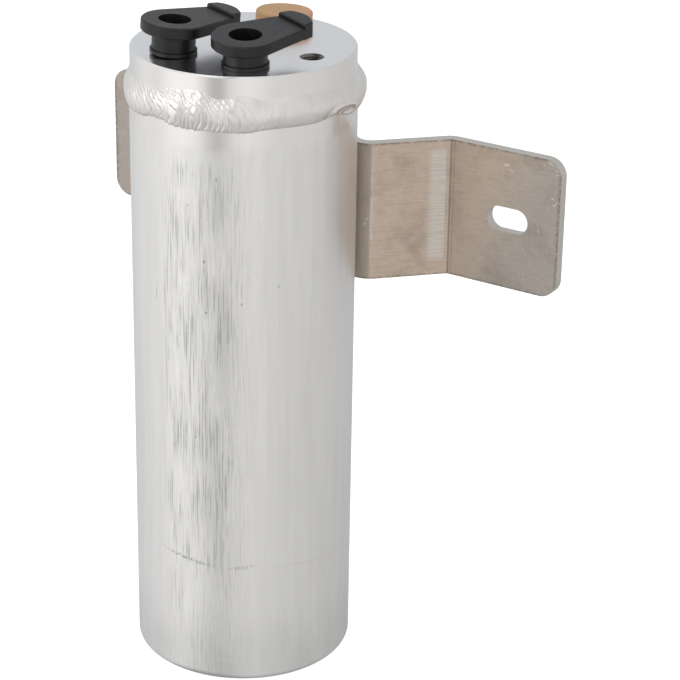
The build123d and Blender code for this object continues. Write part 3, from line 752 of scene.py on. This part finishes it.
# %% The bead's tree
def bead_tree():
    """A grid bent into a ring whose radius is the bead's section and ripples."""
    tree, start, end = geometry_tree("rippled bead", BEAD)
    rows = start["Rows"]
    around = plus(tree, start["Steps"], 1.0)
    levels = plus(tree, rows, 3.0)
    grid = put(tree, "GeometryNodeMeshGrid", {"Size X": 1.0, "Size Y": 1.0, "Vertices X": around, "Vertices Y": levels})
    at = put(tree, "ShaderNodeSeparateXYZ", {0: tree.nodes.new("GeometryNodeInputPosition").outputs[0]}).outputs
    share = plus(tree, at[0], 0.5)
    front = times(tree, at[0], 2 * math.pi)
    degrees = times(tree, at[0], 360.0)
    level = calc(tree, "ROUND", times(tree, plus(tree, at[1], 0.5), plus(tree, rows, 2.0)))
    outer = calc(tree, "DIVIDE", level, calc(tree, "SUBTRACT", rows, 1.0), clamp=True)
    returning = calc(tree, "GREATER_THAN", level, plus(tree, rows, 0.5))
    inside = times(tree, calc(tree, "GREATER_THAN", level, calc(tree, "SUBTRACT", rows, 0.5)), calc(tree, "LESS_THAN", level, plus(tree, rows, 1.5)))
    t = times(tree, outer, calc(tree, "SUBTRACT", 1.0, returning))
    turn = plus(tree, front, FRONT_TURN - math.pi / 2)
    cosine, sine = calc(tree, "COSINE", turn), calc(tree, "SINE", turn)
    circle = put(tree, "ShaderNodeCombineXYZ", {0: cosine, 1: sine, 2: times(tree, t, 0.12)}).outputs[0]
    arc = times(tree, front, CAN_RADIUS)
    wave, crease = ripple_wave(tree, start, arc, t, circle)
    lively = liveliness(tree, degrees)
    toe = times(tree, wave, lively)
    low = calc(tree, "SUBTRACT", edge_curve(tree, share, LOWER_EDGE, 158.0, 162.0), times(tree, toe, 0.30))
    high = plus(tree, edge_curve(tree, share, UPPER_EDGE, 166.0, 171.0), times(tree, toe, 0.35))
    height = plus(tree, low, times(tree, t, calc(tree, "SUBTRACT", high, low)))
    hump = calc(tree, "SINE", times(tree, calc(tree, "POWER", t, 0.9), math.pi))
    swell = calc(tree, "POWER", calc(tree, "MAXIMUM", hump, 0.0), plus(tree, times(tree, t, 0.95), 0.38))
    proud = plus(tree, start["Proud"], times(tree, start["Fuller Side"], calc(tree, "SINE", front)))
    proud = calc(tree, "SUBTRACT", proud, times(tree, start["Flatter Front"], calc(tree, "MAXIMUM", calc(tree, "COSINE", front), 0.0)))
    lumps = times(tree, calc(tree, "SUBTRACT", noise(tree, circle, 16.0, 3.0), 0.5), start["Lump Height"], 2.0)
    dimple_place = put(tree, "ShaderNodeCombineXYZ", {0: times(tree, arc, 0.55), 1: times(tree, height, 0.8), 2: 0.0}).outputs[0]
    dimples = times(tree, calc(tree, "SUBTRACT", noise(tree, dimple_place, 1.0, 2.0), 0.5), bell(tree, t, 0.85, 0.2), bell(tree, degrees, -30.0, 30.0), 0.9)
    lap_a = calc(tree, "DIVIDE", calc(tree, "SUBTRACT", arc, 29.6), 4.4)
    lap_b = calc(tree, "DIVIDE", calc(tree, "SUBTRACT", calc(tree, "SUBTRACT", height, 161.6), times(tree, calc(tree, "SUBTRACT", arc, 29.6), -0.10)), 1.5)
    lap = calc(tree, "SQRT", plus(tree, times(tree, lap_a, lap_a), times(tree, lap_b, lap_b)))
    crater = plus(tree, times(tree, bell(tree, lap, 1.0, 0.45), 0.42), times(tree, fit(tree, lap, 0.95, 0.3), -0.30))
    full = plus(tree, times(tree, wave, lively, start["Ripple Height"], 1.6), lumps, dimples, crater)
    edge_fade = fit(tree, hump, 0.0, 0.35)
    foot = plus(tree, 29.85, times(tree, t, -0.25))
    skin = plus(tree, foot, times(tree, proud, swell), times(tree, full, edge_fade))
    radius = plus(tree, times(tree, skin, calc(tree, "SUBTRACT", 1.0, inside)), times(tree, start["Inner Radius"], inside))
    metres = put(tree, "ShaderNodeCombineXYZ", {0: times(tree, radius, cosine, 0.001), 1: times(tree, radius, sine, 0.001), 2: times(tree, height, 0.001)})
    bent = put(tree, "GeometryNodeSetPosition", {"Geometry": grid.outputs["Mesh"], "Position": metres.outputs[0]})
    # Soot in the ripple creases and round the lap, painted contact shade along the lower toe.
    soot_and_toe_shade = calc(tree, "MAXIMUM", times(tree, crease, lively), times(tree, bell(tree, t, 0.0, 0.06), bell(tree, degrees, -20.0, 60.0)))
    soot_and_toe_shade = calc(tree, "MAXIMUM", soot_and_toe_shade, times(tree, bell(tree, lap, 0.8, 0.25), 0.6))
    kept = put(tree, "GeometryNodeStoreNamedAttribute", {"Geometry": grid.outputs["Mesh"], "Name": "crease", "Value": soot_and_toe_shade}, data_type="FLOAT", domain="POINT")
    tree.links.new(kept.outputs[0], bent.inputs["Geometry"])
    closed = put(tree, "GeometryNodeMergeByDistance", {"Geometry": bent.outputs[0], "Distance": 0.000005})
    close_tree(tree, closed.outputs[0], start["Finish"], end)
    return tree


weld = grow("rippled_weld", bead_tree(), WELD, BEAD)
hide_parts("head_weld")
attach(weld, "root")

# %% [markdown]
# ## The threads in the tapped holes
#
# A screw holds each hose fitting down on the head, and its thread shows in the
# tapped hole beside the ports. A ridge that climbs a helix is a spiral curve
# with a small section swept along it, which is just what Curve to Mesh does.

# %% The thread's tree
THREAD = {"Turns": 10.0, "Pitch": 1.0, "Radius": 2.42, "Ridge": 0.42, "Steps per Turn": 28, "Top": 173.15}


def thread_tree():
    """A helical ridge of three-sided section."""
    tree, start, end = geometry_tree("screw thread", {**THREAD, "Place X": 0.0, "Place Y": 0.0})
    height = times(tree, start["Turns"], start["Pitch"], 0.001)
    radius = times(tree, start["Radius"], 0.001)
    inputs = {"Resolution": times(tree, start["Steps per Turn"], 1.0), "Rotations": start["Turns"], "Start Radius": radius, "End Radius": radius, "Height": height}
    helix = put(tree, "GeometryNodeCurveSpiral", inputs)
    section = put(tree, "GeometryNodeCurvePrimitiveCircle", {"Resolution": 3, "Radius": times(tree, start["Ridge"], 0.001)}, mode="RADIUS")
    ridge = put(tree, "GeometryNodeCurveToMesh", {"Curve": helix.outputs[0], "Profile Curve": section.outputs[0], "Fill Caps": True})
    low = calc(tree, "SUBTRACT", times(tree, start["Top"], 0.001), height)
    spot = put(tree, "ShaderNodeCombineXYZ", {0: times(tree, start["Place X"], 0.001), 1: times(tree, start["Place Y"], 0.001), 2: low})
    placed = put(tree, "GeometryNodeTransform", {"Geometry": ridge.outputs[0], "Translation": spot.outputs[0]})
    close_tree(tree, placed.outputs[0], start["Finish"], end)
    return tree


threads = thread_tree()
for name, (x_mm, y_mm) in zip(("outlet_thread", "inlet_thread"), SCREW_HOLES):
    thread = grow(name, threads, HEAD, {**THREAD, "Place X": x_mm, "Place Y": y_mm})
    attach(thread, "root")

# %% [markdown]
# ## The studio
#
# The picture was taken against white. Polished metal shows the room more than
# the lamps: a bright panel to the left, a narrow dark gap beside the camera,
# soft white ahead and a greyer side to the right, all a little darker toward
# the floor. So the world carries that room for glossy rays, as levels round
# the horizon, none above white, while the camera sees plain white. The floor
# lets glossy rays by, or the can would show only the floor and its bands would
# vanish below the middle. It still takes the drier's shadow.

# %% The world and its bands of light
# Each row: degrees round from the camera's side, level.
BANDS = [
    (-180, 0.64), (-150, 0.66), (-116, 0.84), (-96, 0.80), (-82, 0.93), (-72, 1.0), (-50, 1.0), (-40, 0.80), (-31, 0.52), (-22, 0.50), (-12, 0.78), (-4, 0.84),
    (8, 0.88), (17, 0.82), (32, 0.72), (47, 0.71), (63, 0.69), (82, 0.66), (101, 0.62), (127, 0.59), (150, 0.57), (180, 0.64),
]


def room():
    """The world: white to the camera, soft bands to metal, plain to the rest."""
    world = bpy.data.worlds.new("studio room")
    bpy.context.scene.world = world
    world.use_nodes = True
    tree = world.node_tree
    tree.nodes.clear()
    where = tree.nodes.new("ShaderNodeTexCoord").outputs["Generated"]
    turned = put(tree, "ShaderNodeVectorRotate", {"Vector": where, "Angle": -FRONT_TURN}, rotation_type="Z_AXIS")
    x, y, z = put(tree, "ShaderNodeSeparateXYZ", {0: turned.outputs[0]}).outputs
    angle = calc(tree, "ARCTAN2", x, calc(tree, "MULTIPLY", y, -1.0))
    share = plus(tree, calc(tree, "DIVIDE", angle, 2 * math.pi), 0.5)
    ramp = put(tree, "ShaderNodeValToRGB", {0: share})
    stops = ramp.color_ramp.elements
    while len(stops) < len(BANDS):
        stops.new(0.5)
    for stop, (degrees, level) in zip(stops, BANDS):
        stop.position = degrees / 360 + 0.5
        cool = 0.02 if abs(degrees) > 140 else -0.012
        stop.color = (level * (1 - cool), level, level * (1 + cool), 1.0)
    floorward = fit(tree, z, -0.58, -0.25, 0.78, 1.0)
    deeper = fit(tree, z, -1.0, -0.55, 0.75, 1.0)
    shade = put(tree, "ShaderNodeCombineColor", {i: times(tree, floorward, deeper) for i in range(3)}).outputs[0]
    banded = put(tree, "ShaderNodeMix", data_type="RGBA", blend_type="MULTIPLY")
    banded.inputs[0].default_value = 1.0
    tree.links.new(ramp.outputs[0], banded.inputs[6])
    tree.links.new(shade, banded.inputs[7])
    path = tree.nodes.new("ShaderNodeLightPath").outputs
    light = mix(tree, path["Is Glossy Ray"], (0.70, 0.70, 0.70), banded.outputs[2])
    seen = calc(tree, "MAXIMUM", path["Is Camera Ray"], path["Is Transmission Ray"])
    light = mix(tree, seen, light, (1.0, 1.0, 1.0))
    background = put(tree, "ShaderNodeBackground", {"Color": light, "Strength": 1.0})
    output = tree.nodes.new("ShaderNodeOutputWorld")
    tree.links.new(background.outputs[0], output.inputs[0])


room()
print("world bands:", len(BANDS))


# %% The floor
def floor():
    """A white floor that metal looks past and that keeps a faint shadow."""
    mesh = bpy.data.meshes.new("floor")
    side = 3.0
    mesh.from_pydata([(-side, -side, 0), (side, -side, 0), (side, side, 0), (-side, side, 0)], [], [(0, 1, 2, 3)])
    piece = bpy.data.objects.new("floor", mesh)
    bpy.context.scene.collection.objects.link(piece)
    material = bpy.data.materials.new("white floor")
    material.use_nodes = True
    tree = material.node_tree
    tree.nodes.clear()
    path = tree.nodes.new("ShaderNodeLightPath").outputs
    glow = put(tree, "ShaderNodeEmission", {"Color": (1, 1, 1, 1), "Strength": 0.78})
    matt = put(tree, "ShaderNodeBsdfDiffuse", {"Color": (0.6, 0.6, 0.6, 1)})
    seen = put(tree, "ShaderNodeAddShader", {0: glow.outputs[0], 1: matt.outputs[0]})
    clear = tree.nodes.new("ShaderNodeBsdfTransparent")
    looking = calc(tree, "MAXIMUM", path["Is Camera Ray"], path["Is Transmission Ray"])
    plain = put(tree, "ShaderNodeMixShader", {0: looking, 1: matt.outputs[0], 2: seen.outputs[0]})
    final = put(tree, "ShaderNodeMixShader", {0: path["Is Glossy Ray"], 1: plain.outputs[0], 2: clear.outputs[0]})
    output = tree.nodes.new("ShaderNodeOutputMaterial")
    tree.links.new(final.outputs[0], output.inputs[0])
    mesh.materials.append(material)


floor()
print("floor laid")


# %% Lamps
def lamp(name, turn, height, distance, size, watts, shows):
    """A square soft box that faces the drier and may show in the metal."""
    data = bpy.data.lights.new(name, "AREA")
    data.size = size
    data.energy = watts
    thing = bpy.data.objects.new(name, data)
    bpy.context.scene.collection.objects.link(thing)
    angle = FRONT_TURN - math.pi / 2 + math.radians(turn)
    place = Vector((distance * math.cos(angle), distance * math.sin(angle), height))
    thing.location = place
    thing.rotation_euler = (Vector((0, 0, 0.1)) - place).to_track_quat("-Z", "Y").to_euler()
    thing.visible_glossy = shows
    return thing


lamp("left soft box", -62, 0.75, 1.2, 0.9, 2.5, shows=True)
lamp("top soft box", 10, 1.3, 0.7, 0.9, 2.4, shows=False)
print("lamps set")

# %% [markdown]
# ## The camera
#
# The photograph's outline gave the camera: a long lens well above the drier,
# looking a little down. Its optical axis is off the picture's middle, so the
# lens is shifted, as when a picture is cropped.

# %% The camera
CAMERA_PLACE = (8.124, -586.273, 348.787)
PITCH, ROLL = 0.398, 0.005
FOCUS_PIXELS, PICTURE = 2343.03, 680
AXIS_X, AXIS_Y = 273.637, 297.749


def camera():
    """The photograph's camera, solved from the outline."""
    data = bpy.data.cameras.new("camera")
    data.sensor_width = 36.0
    data.lens = FOCUS_PIXELS / PICTURE * 36.0
    data.shift_x = (PICTURE / 2 - AXIS_X) / PICTURE
    data.shift_y = -(PICTURE / 2 - AXIS_Y) / PICTURE
    data.clip_start = 0.05
    data.clip_end = 20.0
    thing = bpy.data.objects.new("camera", data)
    bpy.context.scene.collection.objects.link(thing)
    forward = Vector((0, math.cos(PITCH), -math.sin(PITCH)))
    up = Vector((0, math.sin(PITCH), math.cos(PITCH)))
    right = Vector((1, 0, 0))
    right, up = math.cos(ROLL) * right + math.sin(ROLL) * up, math.cos(ROLL) * up - math.sin(ROLL) * right
    turn = Matrix.Rotation(FRONT_TURN, 4, "Z")
    axes = Matrix((right, up, -forward)).transposed().to_4x4()
    axes.translation = Vector(CAMERA_PLACE) / 1000
    thing.matrix_world = turn @ axes
    bpy.context.scene.camera = thing


camera()
bpy.context.scene.view_settings.view_transform = "Standard"
print("camera set")
